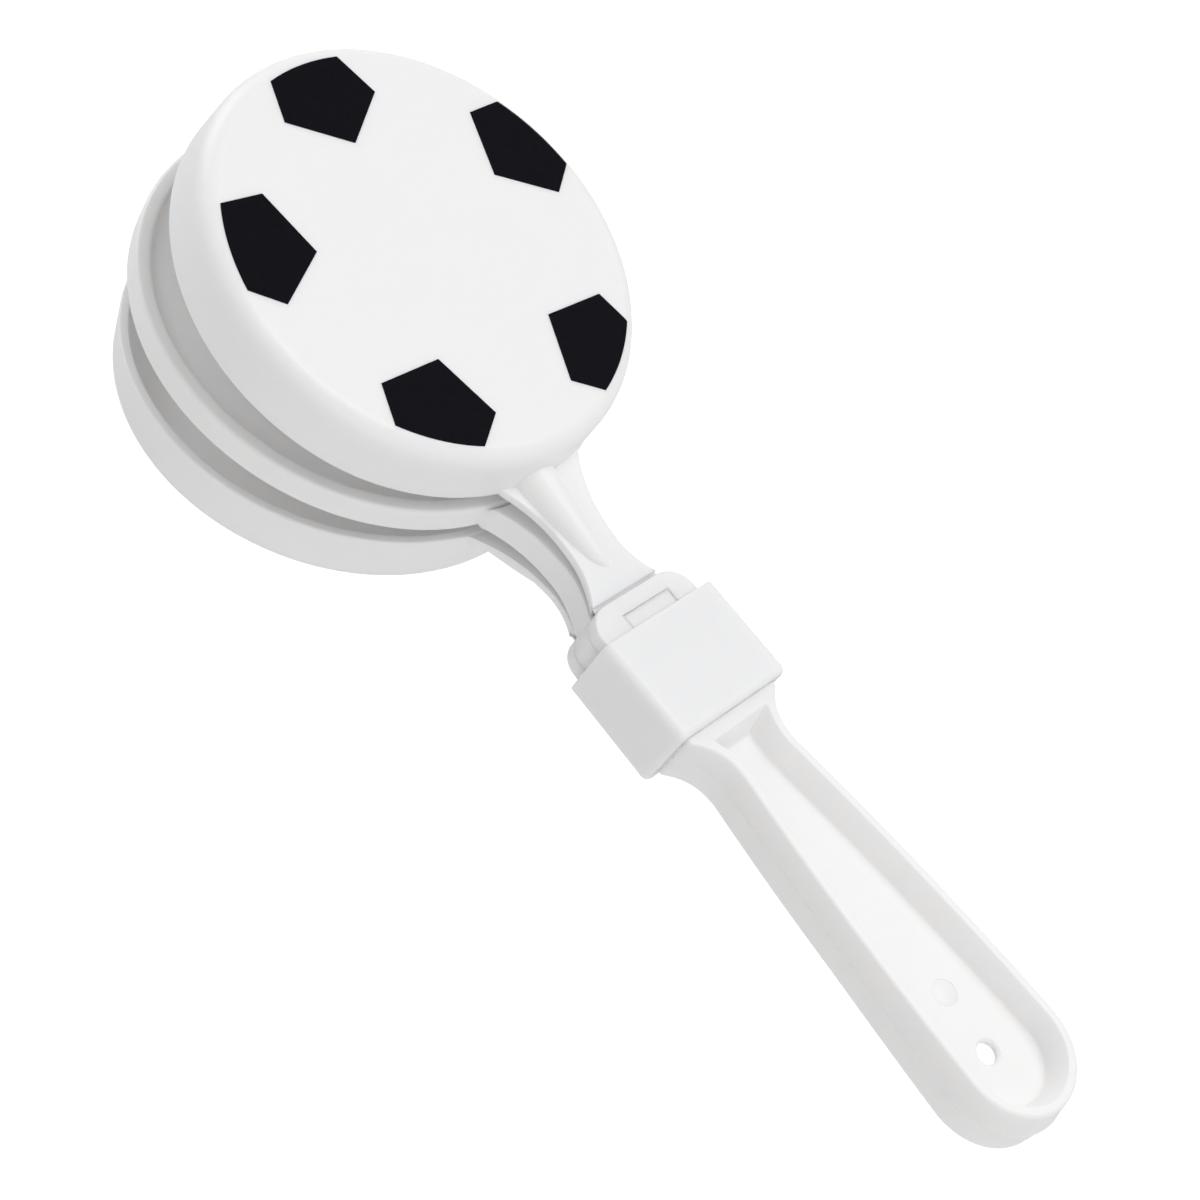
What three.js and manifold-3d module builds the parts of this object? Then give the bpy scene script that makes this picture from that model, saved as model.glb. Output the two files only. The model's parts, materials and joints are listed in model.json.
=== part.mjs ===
// A hand clapper: two hinged cups beat on the centre disc of a long handle.
// Millimetres. +X runs to the end of the grip, +Z points out of the printed face,
// and the origin lies midway between the two film hinges, at the middle of the whole toy.

import * as THREE from "three";
import { mergeVertices } from "three/addons/utils/BufferGeometryUtils.js";
import Module from "manifold-3d";

const wasm = await Module();
wasm.setup();

// Cups, measured with the cup shut
const cupReach = 66.5; // from the hinge to the middle of the cup
const cupRadius = 41.8; // at the open rim
const cupDepth = 11.9; // from the open rim to the face
const cupWall = 1.8;
const cupDraft = 0.5; // the skirt narrows this much towards the face
const cupEdgeRound = 2.6;
const openAngle = 7.4; // degrees that each cup stands away from the centre disc
const openLimit = 25; // degrees from shut where the neck plate's end meets the tail

// Centre disc, part of the handle
const centreReach = 67.6;
const centreRadius = 43.3;
const centreHalf = 2.8; // half of the thickness of the rim, the neck and the core
const centreWebHalf = 1;
const centreRimWidth = 2.9;
const centreEdge = 0.4;

// Neck plates and their film hinges
const plateThickness = 1.6;
const plateClearance = 0.3; // between a shut plate and the handle's neck
const hingeAbovePlate = 0.2; // the film's middle above the plate's underside
const filmGap = 0.4; // length of the film between the plate and its tail
const hingeHalfWidth = 8.9;
const waistHalfWidth = 5.3;
const waistReach = 9.8; // from the hinge to the waist
const rootHalfWidth = 11; // where the plate ends inside the cup's wall
const rootFlare = 2.4; // powers that shape the neck's sides towards the cup and the hinge
const hingeFlare = 1.9;
const ribStart = 5.5; // from the hinge to the rib's tip
const ribHalfWidth = 6.4;
const ribHeight = 2.1;
const ribTip = 0.3; // half width at the tip
const ribTipHeight = 0.1;

// The handle's own neck, between the two plates
const neckOverPlate = 0.4; // wider than a plate on each side
const discRootHalfWidth = 10.6; // where it flares into the centre disc's rim

// Tails of the two clappers, on either side of the handle's core
const tailThickness = 3.1;
const tailLength = 25;
const tailHalfWidth = 12.1;
const tailCorner = 5;
const windowStart = 4;
const windowLength = 8;
const windowHalfWidth = 6.2;
const lugClearance = 0.3;

// Collar
const collarStart = 6.4; // from the hinges
const collarLength = 20;
const collarSideWall = 2;
const collarTopWall = 1.5;
const collarCorner = 1.4;
const boreClearance = 0.2; // beside and above the tails
const boreCorner = 0.5;
const collarBevel = 0.4;

// Grip
const gripEnd = 110.9; // from the hinges
const gripHalfThickness = 5.6;
const gripEndRadius = 12.2; // passes through the collar, which goes on over the grip's end
const gripNarrow = 7.4; // half width at its narrowest
const gripNarrowReach = 37;
const gripSwell = 0.7; // how much sooner than a straight taper the grip widens
const shoulderHalfWidth = 11.9;
const shoulderShows = 1.2; // length of the full shoulder behind the collar
const shoulderSweep = 2.6; // power of the curve from the shoulder to the narrowest place
const shoulderGap = 0.3; // between the tails' ends and the shoulder
const gripRim = 1.9;
const gripRimAtShoulder = 1.2; // the rim is this much wider at the channel's start
const gripRimEase = 2.5; // and loses most of that over this length
const gripEdge = 0.6;
const channelStart = 3.2; // behind the collar
const channelDraft = 2;
const webHalf = 0.9;
const holeRadius = 2.1;
const holeReach = 14.2; // from the grip's end
const pinMarkRadius = 2.5;
const pinMarkSpacing = 11.8; // from the hole
const pinMarkDepth = 0.25;

// Printed pentagons: shallow inlays that lie flush in the front face
const patchCount = 5;
const patchReach = 33.8; // from the middle of the face to a pentagon's middle
const patchRadius = 11;
const patchBorder = 0.4; // from the flat of the face's edge to the circle that cuts the pattern
const patchThickness = 0.5;
const patchClearance = 0.3;

const roundSteps = 96;

// Values that follow from the ones above
const plateUnder = centreHalf + plateClearance;
const hingeHeight = plateUnder + hingeAbovePlate;
const rimLevel = -hingeAbovePlate; // the cup's open rim, seen from the hinge
const faceLevel = rimLevel + cupDepth;
const plateTop = rimLevel + plateThickness;
const wallMiddle = cupRadius - cupDraft - cupWall / 2;
const rimMiddle = centreRadius - centreRimWidth / 2;
const boreHalfWidth = tailHalfWidth + boreClearance;
const boreHalfHeight = centreHalf + tailThickness + boreClearance / 2;
const collarHalfWidth = boreHalfWidth + collarSideWall;
const collarHalfHeight = boreHalfHeight + collarTopWall;
const collarEnd = collarStart + collarLength;
const shoulderStart = filmGap / 2 + tailLength + shoulderGap;
const gripArcCentre = gripEnd - gripEndRadius;
const holeX = gripEnd - holeReach;
const flatRadius = cupRadius - cupDraft - cupEdgeRound;

const whitePlastic = { color: 0xf1f1f2, roughness: 0.38, metalness: 0 };
const inkPrint = { color: 0x15141c, roughness: 0.5, metalness: 0 };

function solid(geometry) {
  const plain = geometry.index ? geometry.clone() : mergeVertices(geometry);
  for (const name of Object.keys(plain.attributes)) {
    if (name !== "position") plain.deleteAttribute(name);
  }
  const merged = mergeVertices(plain, 1e-4);
  return new wasm.Manifold(
    new wasm.Mesh({
      numProp: 3,
      vertProperties: new Float32Array(merged.attributes.position.array),
      triVerts: new Uint32Array(merged.index.array),
    })
  );
}

function toMesh(name, body, look) {
  const data = body.getMesh();
  const geometry = new THREE.BufferGeometry();
  geometry.setAttribute("position", new THREE.BufferAttribute(data.vertProperties, 3));
  geometry.setIndex(new THREE.BufferAttribute(data.triVerts, 1));
  geometry.computeVertexNormals();
  const mesh = new THREE.Mesh(geometry, new THREE.MeshStandardMaterial(look));
  mesh.name = name;
  return mesh;
}

function slab(points, low, high) {
  const geometry = new THREE.ExtrudeGeometry(new THREE.Shape(points), {
    depth: high - low,
    bevelEnabled: false,
  });
  return solid(geometry.translate(0, 0, low));
}

// A closed solid between outlines of equal point counts, each at its own height
function loft(sections) {
  const count = sections[0].points.length;
  const positions = [];
  const triangles = [];
  for (const { points, z } of sections) {
    for (const p of points) positions.push(p.x, p.y, z);
  }
  for (let level = 0; level + 1 < sections.length; level++) {
    for (let i = 0; i < count; i++) {
      const a = level * count + i;
      const b = level * count + ((i + 1) % count);
      triangles.push(a, b, b + count, a, b + count, a + count);
    }
  }
  const top = (sections.length - 1) * count;
  for (const [a, b, c] of THREE.ShapeUtils.triangulateShape(sections[0].points, [])) {
    triangles.push(a, c, b, top + a, top + b, top + c);
  }
  const geometry = new THREE.BufferGeometry();
  geometry.setAttribute("position", new THREE.Float32BufferAttribute(positions, 3));
  geometry.setIndex(triangles);
  return solid(geometry);
}

function cylinder(radius, low, high, x, steps = roundSteps) {
  const geometry = new THREE.CylinderGeometry(radius, radius, high - low, steps);
  geometry.rotateX(Math.PI / 2);
  return solid(geometry.translate(x, 0, (low + high) / 2));
}

function box(xLow, xHigh, halfWidth, low, high) {
  const geometry = new THREE.BoxGeometry(xHigh - xLow, 2 * halfWidth, high - low);
  return solid(geometry.translate((xLow + xHigh) / 2, 0, (low + high) / 2));
}

// Half widths along X become one side of an outline, and its mirror the other
function mirrored(side) {
  const other = side.map((p) => new THREE.Vector2(p.x, -p.y));
  return [...side, ...other.reverse()];
}

// Half width of the waisted neck, which flares towards its root at low X and towards the hinge
function neckHalfWidth(x, rootX, rootWidth) {
  if (x < -waistReach) {
    const t = (waistReach + x) / (waistReach + rootX);
    return waistHalfWidth + (rootWidth - waistHalfWidth) * t ** rootFlare;
  }
  const t = Math.min(1, (x + waistReach) / waistReach);
  return waistHalfWidth + (hingeHalfWidth - waistHalfWidth) * t ** hingeFlare;
}

function neckSide(extra, rootX, rootWidth, endX) {
  const side = [];
  const steps = 32;
  for (let i = 0; i <= steps; i++) {
    const x = rootX + ((endX - rootX) * i) / steps;
    side.push(new THREE.Vector2(x, neckHalfWidth(x, rootX, rootWidth) + extra));
  }
  return side;
}

// Where a neck's square end has its corners on a ring around the middle of its disc or cup
function rootOnRing(reach, radius, halfWidth) {
  return Math.sqrt(radius ** 2 - halfWidth ** 2) - reach;
}

// A block whose front corners are rounded, as the core and both tails are
function headSide(front, back, halfWidth) {
  const corner = new THREE.Path();
  corner.absarc(front + tailCorner, halfWidth - tailCorner, tailCorner, Math.PI, Math.PI / 2, true);
  return [...corner.getPoints(8), new THREE.Vector2(back, halfWidth)];
}

function gripHalfWidth(x) {
  const shoulderEnd = collarEnd + shoulderShows;
  if (x <= shoulderEnd) return shoulderHalfWidth;
  if (x < gripNarrowReach) {
    const t = (x - shoulderEnd) / (gripNarrowReach - shoulderEnd);
    return gripNarrow + (shoulderHalfWidth - gripNarrow) * (1 - t) ** shoulderSweep;
  }
  const t = Math.min(1, (x - gripNarrowReach) / (gripArcCentre - gripNarrowReach));
  return gripNarrow + (gripEndRadius - gripNarrow) * (t + gripSwell * t * (1 - t));
}

// Outline of the grip, or of its channel when a rim width is taken off
function gripOutline(start, rim, rimAtStart) {
  const side = [];
  const steps = 40;
  for (let i = 0; i < steps; i++) {
    const t = (i / steps) ** 1.4;
    const x = start + (gripArcCentre - start) * t;
    const widening = rimAtStart * Math.exp(-(x - start) / gripRimEase);
    side.push(new THREE.Vector2(x, gripHalfWidth(x) - rim - widening));
  }
  const arcSteps = 14;
  for (let i = 0; i < arcSteps; i++) {
    const angle = (Math.PI / 2) * (1 - i / arcSteps);
    const radius = gripEndRadius - rim;
    side.push(new THREE.Vector2(gripArcCentre + radius * Math.cos(angle), radius * Math.sin(angle)));
  }
  const tip = new THREE.Vector2(gripEnd - rim, 0);
  const other = side.map((p) => new THREE.Vector2(p.x, -p.y));
  return [...other, tip, ...side.reverse()];
}

function gripBlock() {
  const full = gripOutline(shoulderStart, 0, 0);
  const inner = gripOutline(shoulderStart, gripEdge, 0);
  const shoulder = gripHalfThickness - gripEdge;
  return loft([
    { points: inner, z: -gripHalfThickness },
    { points: full, z: -shoulder },
    { points: full, z: shoulder },
    { points: inner, z: gripHalfThickness },
  ]);
}

function channel() {
  const start = collarEnd + channelStart;
  const over = 1;
  const depth = gripHalfThickness - webHalf;
  const lean = (channelDraft * (depth + over)) / depth;
  const floor = gripOutline(start, gripRim + channelDraft, gripRimAtShoulder);
  const mouth = gripOutline(start, gripRim + channelDraft - lean, gripRimAtShoulder);
  return loft([
    { points: floor, z: webHalf },
    { points: mouth, z: gripHalfThickness + over },
  ]);
}

function centreDisc() {
  const recess = centreRadius - centreRimWidth;
  const profile = [
    [0, -centreWebHalf],
    [recess - centreEdge, -centreWebHalf],
    [recess, -centreHalf],
    [centreRadius - centreEdge, -centreHalf],
    [centreRadius, -centreHalf + centreEdge],
    [centreRadius, centreHalf - centreEdge],
    [centreRadius - centreEdge, centreHalf],
    [recess, centreHalf],
    [recess - centreEdge, centreWebHalf],
    [0, centreWebHalf],
  ].map(([r, z]) => new THREE.Vector2(r, z));
  const geometry = new THREE.LatheGeometry(profile, roundSteps);
  geometry.rotateX(Math.PI / 2);
  return solid(geometry.translate(-centreReach, 0, 0));
}

function neckAndCore() {
  const rootX = rootOnRing(centreReach, rimMiddle, discRootHalfWidth + neckOverPlate);
  const neck = neckSide(neckOverPlate, rootX, discRootHalfWidth, filmGap / 2 + tailCorner);
  const core = headSide(filmGap / 2, shoulderStart + 1, tailHalfWidth);
  const insideRim = cylinder(rimMiddle, -centreHalf - 1, centreHalf + 1, -centreReach);
  return slab(mirrored(neck), -centreHalf, centreHalf)
    .subtract(insideRim)
    .add(slab(mirrored(core), -centreHalf, centreHalf));
}

function windowBox(clearance, low, high) {
  const start = filmGap / 2 + windowStart + clearance;
  const end = filmGap / 2 + windowStart + windowLength - clearance;
  return box(start, end, windowHalfWidth - clearance, low, high);
}

function handle() {
  const lugTop = centreHalf + tailThickness - lugClearance;
  const bottomChannel = channel().mirror([0, 0, 1]);
  const mark = cylinder(pinMarkRadius, webHalf - pinMarkDepth, webHalf + 1, holeX - pinMarkSpacing, 32);
  const body = gripBlock()
    .subtract(channel())
    .subtract(bottomChannel)
    .add(neckAndCore())
    .add(centreDisc())
    .add(windowBox(lugClearance, -lugTop, lugTop))
    .subtract(cylinder(holeRadius, -gripHalfThickness, gripHalfThickness, holeX, 32))
    .subtract(mark);
  return toMesh("handle", body, whitePlastic);
}

function roundedRectangle(halfWidth, halfHeight, corner) {
  const shape = new THREE.Shape();
  shape.absarc(halfWidth - corner, halfHeight - corner, corner, 0, Math.PI / 2, false);
  shape.absarc(corner - halfWidth, halfHeight - corner, corner, Math.PI / 2, Math.PI, false);
  shape.absarc(corner - halfWidth, corner - halfHeight, corner, Math.PI, 1.5 * Math.PI, false);
  shape.absarc(halfWidth - corner, corner - halfHeight, corner, 1.5 * Math.PI, 2 * Math.PI, false);
  return shape.getPoints(6);
}

function collar() {
  const full = roundedRectangle(collarHalfWidth, collarHalfHeight, collarCorner);
  const small = roundedRectangle(
    collarHalfWidth - collarBevel,
    collarHalfHeight - collarBevel,
    collarCorner - collarBevel
  );
  const outside = loft([
    { points: small, z: 0 },
    { points: full, z: collarBevel },
    { points: full, z: collarLength - collarBevel },
    { points: small, z: collarLength },
  ]);
  const opening = roundedRectangle(boreHalfWidth, boreHalfHeight, boreCorner);
  const bore = slab(opening, -1, collarLength + 1);
  const standing = outside.subtract(bore);
  const body = standing.rotate([90, 0, 90]).translate([collarStart, 0, 0]);
  return toMesh("collar", body, whitePlastic);
}

// One tail: the fixed end of a clapper, clamped between the core and the collar
function tail(name) {
  const outline = mirrored(headSide(filmGap / 2, filmGap / 2 + tailLength, tailHalfWidth));
  const low = centreHalf;
  const body = slab(outline, low, low + tailThickness).subtract(
    windowBox(0, low - 1, low + tailThickness + 1)
  );
  return toMesh(name, body, whitePlastic);
}

// The cup with its open rim down, seen from the hinge
function cup() {
  const skirtTop = faceLevel - cupEdgeRound;
  const outer = cupRadius - cupDraft;
  const insideRound = Math.max(0.5, cupEdgeRound - cupWall);
  const inner = outer - cupWall;
  const ceiling = faceLevel - cupWall;
  const profile = [new THREE.Vector2(0, faceLevel)];
  const steps = 6;
  for (let i = 0; i <= steps; i++) {
    const a = (Math.PI / 2) * (1 - i / steps);
    const r = outer - cupEdgeRound + cupEdgeRound * Math.cos(a);
    profile.push(new THREE.Vector2(r, skirtTop + cupEdgeRound * Math.sin(a)));
  }
  profile.push(new THREE.Vector2(cupRadius, rimLevel));
  profile.push(new THREE.Vector2(cupRadius - cupWall, rimLevel));
  for (let i = 0; i <= 3; i++) {
    const a = (Math.PI / 2) * (i / 3);
    const r = inner - insideRound + insideRound * Math.cos(a);
    profile.push(new THREE.Vector2(r, ceiling - insideRound + insideRound * Math.sin(a)));
  }
  profile.push(new THREE.Vector2(0, ceiling));
  const geometry = new THREE.LatheGeometry(profile.reverse(), roundSteps);
  geometry.rotateX(Math.PI / 2);
  return solid(geometry.translate(-cupReach, 0, 0));
}

// The neck plate's end leans back so that it stands upright at the widest opening
function neckPlate() {
  const rootX = rootOnRing(cupReach, wallMiddle, rootHalfWidth);
  const side = neckSide(0, rootX, rootHalfWidth, -filmGap / 2);
  const plate = slab(mirrored(side), rimLevel, plateTop);
  const lean = Math.tan(THREE.MathUtils.degToRad(openLimit));
  const endFace = (z) => new THREE.Vector2(-filmGap / 2 - z * lean, z);
  const wedge = [
    endFace(rimLevel - 1),
    endFace(plateTop + 1),
    new THREE.Vector2(2, plateTop + 1),
    new THREE.Vector2(2, rimLevel - 1),
  ];
  const cutter = new THREE.ExtrudeGeometry(new THREE.Shape(wedge), {
    depth: 4 * hingeHalfWidth,
    bevelEnabled: false,
  });
  cutter.rotateX(Math.PI / 2).translate(0, 2 * hingeHalfWidth, 0);
  return plate.subtract(solid(cutter));
}

// The tapered rib on the neck plate, half round, swelling towards the cup
function rib() {
  const rootX = rootOnRing(cupReach, wallMiddle, ribHalfWidth);
  const rings = 8;
  const sides = 10;
  const positions = [];
  const triangles = [];
  const sunk = plateThickness / 2;
  for (let i = 0; i <= rings; i++) {
    const t = i / rings;
    const x = -ribStart + (rootX + ribStart) * t;
    const halfWidth = ribTip + (ribHalfWidth - ribTip) * Math.sqrt(t);
    const height = ribTipHeight + (ribHeight - ribTipHeight) * t;
    for (let j = 0; j <= sides; j++) {
      const a = (Math.PI * j) / sides;
      positions.push(x, -halfWidth * Math.cos(a), plateTop + height * Math.sin(a));
    }
    positions.push(x, halfWidth, plateTop - sunk, x, -halfWidth, plateTop - sunk);
  }
  const ring = sides + 3;
  for (let i = 0; i < rings; i++) {
    for (let j = 0; j < ring; j++) {
      const a = i * ring + j;
      const b = i * ring + ((j + 1) % ring);
      triangles.push(a, b, b + ring, a, b + ring, a + ring);
    }
  }
  for (let j = 1; j + 1 < ring; j++) {
    triangles.push(0, j + 1, j);
    triangles.push(rings * ring, rings * ring + j, rings * ring + j + 1);
  }
  const geometry = new THREE.BufferGeometry();
  geometry.setAttribute("position", new THREE.Float32BufferAttribute(positions, 3));
  geometry.setIndex(triangles);
  return solid(geometry);
}

// A regular pentagon with one corner towards the middle of the face, cut off by a circle
function pentagon(index, grow, low, high) {
  const turn = (2 * Math.PI * index) / patchCount;
  const corners = [];
  for (let i = 0; i < 5; i++) {
    const a = (2 * Math.PI * i) / 5;
    corners.push(
      new THREE.Vector2(
        -patchReach + (patchRadius + grow / Math.cos(Math.PI / 5)) * Math.cos(a),
        (patchRadius + grow / Math.cos(Math.PI / 5)) * Math.sin(a)
      )
    );
  }
  const whole = slab(corners, low, high);
  const limit = cylinder(flatRadius - patchBorder + grow, low - 1, high + 1, 0);
  return whole
    .intersect(limit)
    .rotate([0, 0, THREE.MathUtils.radToDeg(-turn)])
    .translate([-cupReach, 0, 0]);
}

function clapperBody(printed) {
  const insideWall = cylinder(wallMiddle, rimLevel - 1, faceLevel, -cupReach);
  const neck = neckPlate().add(rib()).subtract(insideWall);
  let body = cup().add(neck);
  if (printed) {
    const floor = faceLevel - patchThickness - patchClearance;
    for (let i = 0; i < patchCount; i++) {
      body = body.subtract(pentagon(i, patchClearance, floor, faceLevel + 1));
    }
  }
  return body;
}

function printedPatches() {
  const patches = [];
  for (let i = 0; i < patchCount; i++) {
    const body = pentagon(i, 0, faceLevel - patchThickness, faceLevel);
    patches.push(toMesh(`pentagon_${i + 1}`, body, inkPrint));
  }
  return patches;
}

// A group at a film hinge, with the cup standing open
function hingeGroup(height, angle) {
  const group = new THREE.Group();
  group.position.set(0, 0, height);
  group.rotation.y = THREE.MathUtils.degToRad(angle);
  return group;
}

const clapper = new THREE.Group();
clapper.name = "hand_clapper";

const front = hingeGroup(hingeHeight, openAngle);
front.add(toMesh("front_clapper", clapperBody(true), whitePlastic), ...printedPatches());

const rear = hingeGroup(-hingeHeight, -openAngle);
rear.add(toMesh("rear_clapper", clapperBody(false).mirror([0, 0, 1]), whitePlastic));

const frontTail = tail("front_tail");
const rearTail = tail("rear_tail");
rearTail.rotation.x = Math.PI;

clapper.add(handle(), collar(), frontTail, rearTail, front, rear);

export default clapper;
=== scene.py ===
import json
import math

import bmesh
import bpy
from mathutils import Matrix, Quaternion, Vector


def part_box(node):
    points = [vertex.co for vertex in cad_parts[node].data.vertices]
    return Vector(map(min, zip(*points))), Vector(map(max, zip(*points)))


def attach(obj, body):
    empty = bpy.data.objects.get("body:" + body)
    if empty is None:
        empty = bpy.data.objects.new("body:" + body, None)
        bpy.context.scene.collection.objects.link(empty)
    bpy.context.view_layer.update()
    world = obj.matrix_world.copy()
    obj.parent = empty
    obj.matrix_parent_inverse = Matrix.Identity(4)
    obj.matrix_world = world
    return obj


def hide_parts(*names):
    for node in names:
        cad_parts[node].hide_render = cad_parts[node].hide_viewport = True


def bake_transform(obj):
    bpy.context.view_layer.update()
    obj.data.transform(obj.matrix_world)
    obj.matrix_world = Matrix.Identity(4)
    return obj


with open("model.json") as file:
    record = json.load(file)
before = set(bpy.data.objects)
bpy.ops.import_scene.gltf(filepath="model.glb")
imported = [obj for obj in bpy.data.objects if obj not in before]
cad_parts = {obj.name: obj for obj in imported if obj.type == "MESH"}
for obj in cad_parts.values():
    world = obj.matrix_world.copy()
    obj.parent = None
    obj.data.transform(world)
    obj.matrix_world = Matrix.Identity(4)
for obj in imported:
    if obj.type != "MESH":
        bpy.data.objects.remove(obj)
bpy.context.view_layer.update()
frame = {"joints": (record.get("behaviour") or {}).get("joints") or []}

MM = 0.001

# Camera, at the photograph's place: it looks at a point between the two hinges
AIM = Vector((-0.0024, -0.0017, 0.0))
CAMERA_AZIMUTH = 14.97
CAMERA_ELEVATION = 47.63
CAMERA_ROLL = 38.78
CAMERA_DISTANCE = 0.4253
SENSOR = 36.0
LENS = 74.73


def make_camera():
    azimuth = math.radians(CAMERA_AZIMUTH)
    elevation = math.radians(CAMERA_ELEVATION)
    back = Vector(
        (
            math.sin(azimuth) * math.cos(elevation),
            -math.cos(azimuth) * math.cos(elevation),
            math.sin(elevation),
        )
    )
    data = bpy.data.cameras.new("camera")
    data.sensor_width = SENSOR
    data.lens = LENS
    data.clip_start = 0.01
    data.clip_end = 20.0
    camera = bpy.data.objects.new("camera", data)
    bpy.context.scene.collection.objects.link(camera)
    camera.rotation_mode = "QUATERNION"
    camera.location = AIM + back * CAMERA_DISTANCE
    level = (-back).to_track_quat("-Z", "Y")
    camera.rotation_quaternion = level @ Quaternion((0, 0, 1), math.radians(CAMERA_ROLL))
    bpy.context.scene.camera = camera


make_camera()

# Sizes from the frame, in millimetres
front_hinge = frame["joints"][0]
hinge_height = front_hinge["pos_m"][2] / MM
open_angle = -math.radians(front_hinge["range_deg"][0])
cup_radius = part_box("front_clapper")[1].y / MM
disc_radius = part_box("handle")[1].y / MM
grip_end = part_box("handle")[1].x / MM
collar_low, collar_high = (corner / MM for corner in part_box("collar"))
tail_low, tail_high = (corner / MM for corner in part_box("front_tail"))

# Cup
cup_reach = 66.5
cup_depth = 11.9
cup_wall = 1.8
cup_draft = 0.8
cup_edge_width = 3.5
cup_edge_height = 4.5
cup_edge_steps = 12
cup_inner_corner = 2.0
cup_aside = 0.5
cup_aside_run = 12
front_tip_stretch = 0.5
rear_tip_stretch = 0.9
rim_level = -0.2
rim_edge = 0.35
face_level = rim_level + cup_depth

# Neck plate, rib and film
plate_top = 1.4
film_gap = 0.4
film_half_thickness = 0.15
film_sunk = 1.0
film_over_axis = 0.95
film_side_gap = 0.3
end_edge = 0.12
side_edge = 0.3
plate_steps = 56
soft_side_run = 3.0
hinge_half_width = 8.5
waist_half_width = 5.3
waist_reach = 9.8
root_half_width = 11.0
root_reach = 27.63
root_flare = 2.4
root_ease = 3
hinge_flare = 1.9
rib_start = 5.5
rib_half_width = 4.3
rib_swell = 0.5
rib_aside = 0.65
rib_tip = 0.15
rib_bow = math.radians(88)
end_lean = math.radians(25)
end_lean_ease = 6

# Centre disc and the handle's neck and core
disc_reach = 67.6
disc_half = tail_low.z
disc_web_half = 1.0
disc_rim = 2.9
disc_rim_draft = 0.3
disc_edge = 0.8
neck_over_plate = 0.4
neck_root_half_width = 10.6
neck_root_reach = 27.2
neck_end = 0.4
neck_steps = 46
core_end = 27.0
core_end_edge = 0.2
tail_corner = 5.0
tail_edge = 0.3

# Window in the tails and the lug through it
window_start = 3.3
window_end = 12.2
window_half_width = 6.0
window_offset = 0.8
lug_gap = 0.42
lug_turn = math.radians(-0.9)
lug_sunk = 0.1
lug_foot_sunk = 0.3
lug_foot_gap = 0.03
lug_edge = 0.2

# Grip
grip_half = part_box("handle")[1].z / MM
grip_end_radius = 12.2
grip_narrow = 7.4
grip_narrow_reach = 37.0
grip_swell = 0.7
shoulder_half_width = 11.9
shoulder_start = tail_high.x + 0.3
shoulder_full = collar_high.x + 1.2
shoulder_sweep = 2.6
side_steps = 64
arc_steps = 24
grip_steps = side_steps + arc_steps
arc_centre = grip_end - grip_end_radius
grip_rim = 1.9
grip_draft = 0.15
grip_edge = 0.6
mouth_edge = 0.4
channel_start = collar_high.x + 2.85
channel_draft = 2.1
channel_narrowing = 0.9
channel_ease = 1.5
channel_corner = 0.3
channel_ramp = 0.9
channel_foot = 0.7
end_swell_start = 70.0
end_swell_power = 1.3
end_swell = 1.0
end_drop = 0.7
web_half = 0.9
parting_ridge = 0.16
parting_half = 0.15
hole_x = grip_end - 14.2
hole_radius = 2.0
hole_aside = -1.0
pin_mark_x = hole_x - 11.8
pin_mark_radius = 2.5
pin_mark_depth = 0.1
pin_mark_groove = 0.09
pin_mark_groove_half = 0.12
pin_mark_lean = math.radians(1.6)
pin_mark_lean_axis = Vector((-0.3, 1, 0))
cutter_over = 3

# Collar, which sits a little to one side and thickens behind towards the grip
collar_aside = 0.45
collar_slope = 0.035
collar_over = 0.4
collar_corner = 1.7
collar_side_wall = 1.85
collar_top_wall = 1.5
collar_bore_corner = 0.5
collar_front_edge = 0.3
collar_end_edge = 1.3
collar_least_corner = 0.3
collar_lip = 0.25
collar_snug = -0.35
collar_snug_run = 1
collar_snug_ease = 0.4
collar_corner_steps = 8

# Print
pentagon_count = 5
pentagon_reach = 33.8
pentagon_radius = 11.0
print_limit = 38.3
# How far each pentagon is off its place: inward, to one side (mm), and turned (degrees)
print_places = (
    (1, -0.6, -1.2),
    (0, -0.2, 0.2),
    (-0.4, 1.7, -2.8),
    (0.2, 0.6, -2),
    (0.3, 1.2, -7.2),
)
ink_height = 0.03
ink_sunk = 0.5
ink_trim = 1
ink_low = face_level - ink_sunk
ink_high = face_level + ink_trim
ink_below = ink_low - ink_trim
ink_above = ink_high + ink_trim
ink_edge_points = 6

# Fineness of the turned parts: the necks grow out of this many columns on each side
turn_steps = 480
step_angle = 2 * math.pi / turn_steps
neck_columns = 18
neck_corner = math.radians(45)
rib_first_column = -15
rib_last_column = 3
merge_distance = 1e-4
mirror_merge_distance = 1e-3

# Steps around the rounded corners of each outline
cup_corner_steps = 8
disc_corner_steps = 6
grip_corner_steps = 5
collar_edge_steps = 6
# Where the rounded front corners have points, in degrees around them
core_corner_turns = range(26, 91, 8)
tail_corner_turns = range(0, 91, 6)


def piece_from(bm, name):
    """Makes an object of a mesh that was modelled in millimetres."""
    bmesh.ops.scale(bm, vec=(MM, MM, MM), verts=bm.verts)
    mesh = bpy.data.meshes.new(name)
    bm.to_mesh(mesh)
    bm.free()
    piece = bpy.data.objects.new(name, mesh)
    bpy.context.scene.collection.objects.link(piece)
    return piece


def apply_modifiers(piece):
    graph = bpy.context.evaluated_depsgraph_get()
    mesh = bpy.data.meshes.new_from_object(piece.evaluated_get(graph))
    piece.modifiers.clear()
    piece.data = mesh


def soften(piece, width, segments=3, angle=55):
    """Rounds the edges that are sharper than the angle."""
    bevel = piece.modifiers.new("soft_edges", "BEVEL")
    bevel.width = width * MM
    bevel.segments = segments
    bevel.limit_method = "ANGLE"
    bevel.angle_limit = math.radians(angle)
    bevel.use_clamp_overlap = False
    apply_modifiers(piece)


def combine(piece, other, operation):
    boolean = piece.modifiers.new("combine", "BOOLEAN")
    boolean.operation = operation
    boolean.solver = "EXACT"
    boolean.object = other
    apply_modifiers(piece)
    bpy.data.objects.remove(other)


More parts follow.
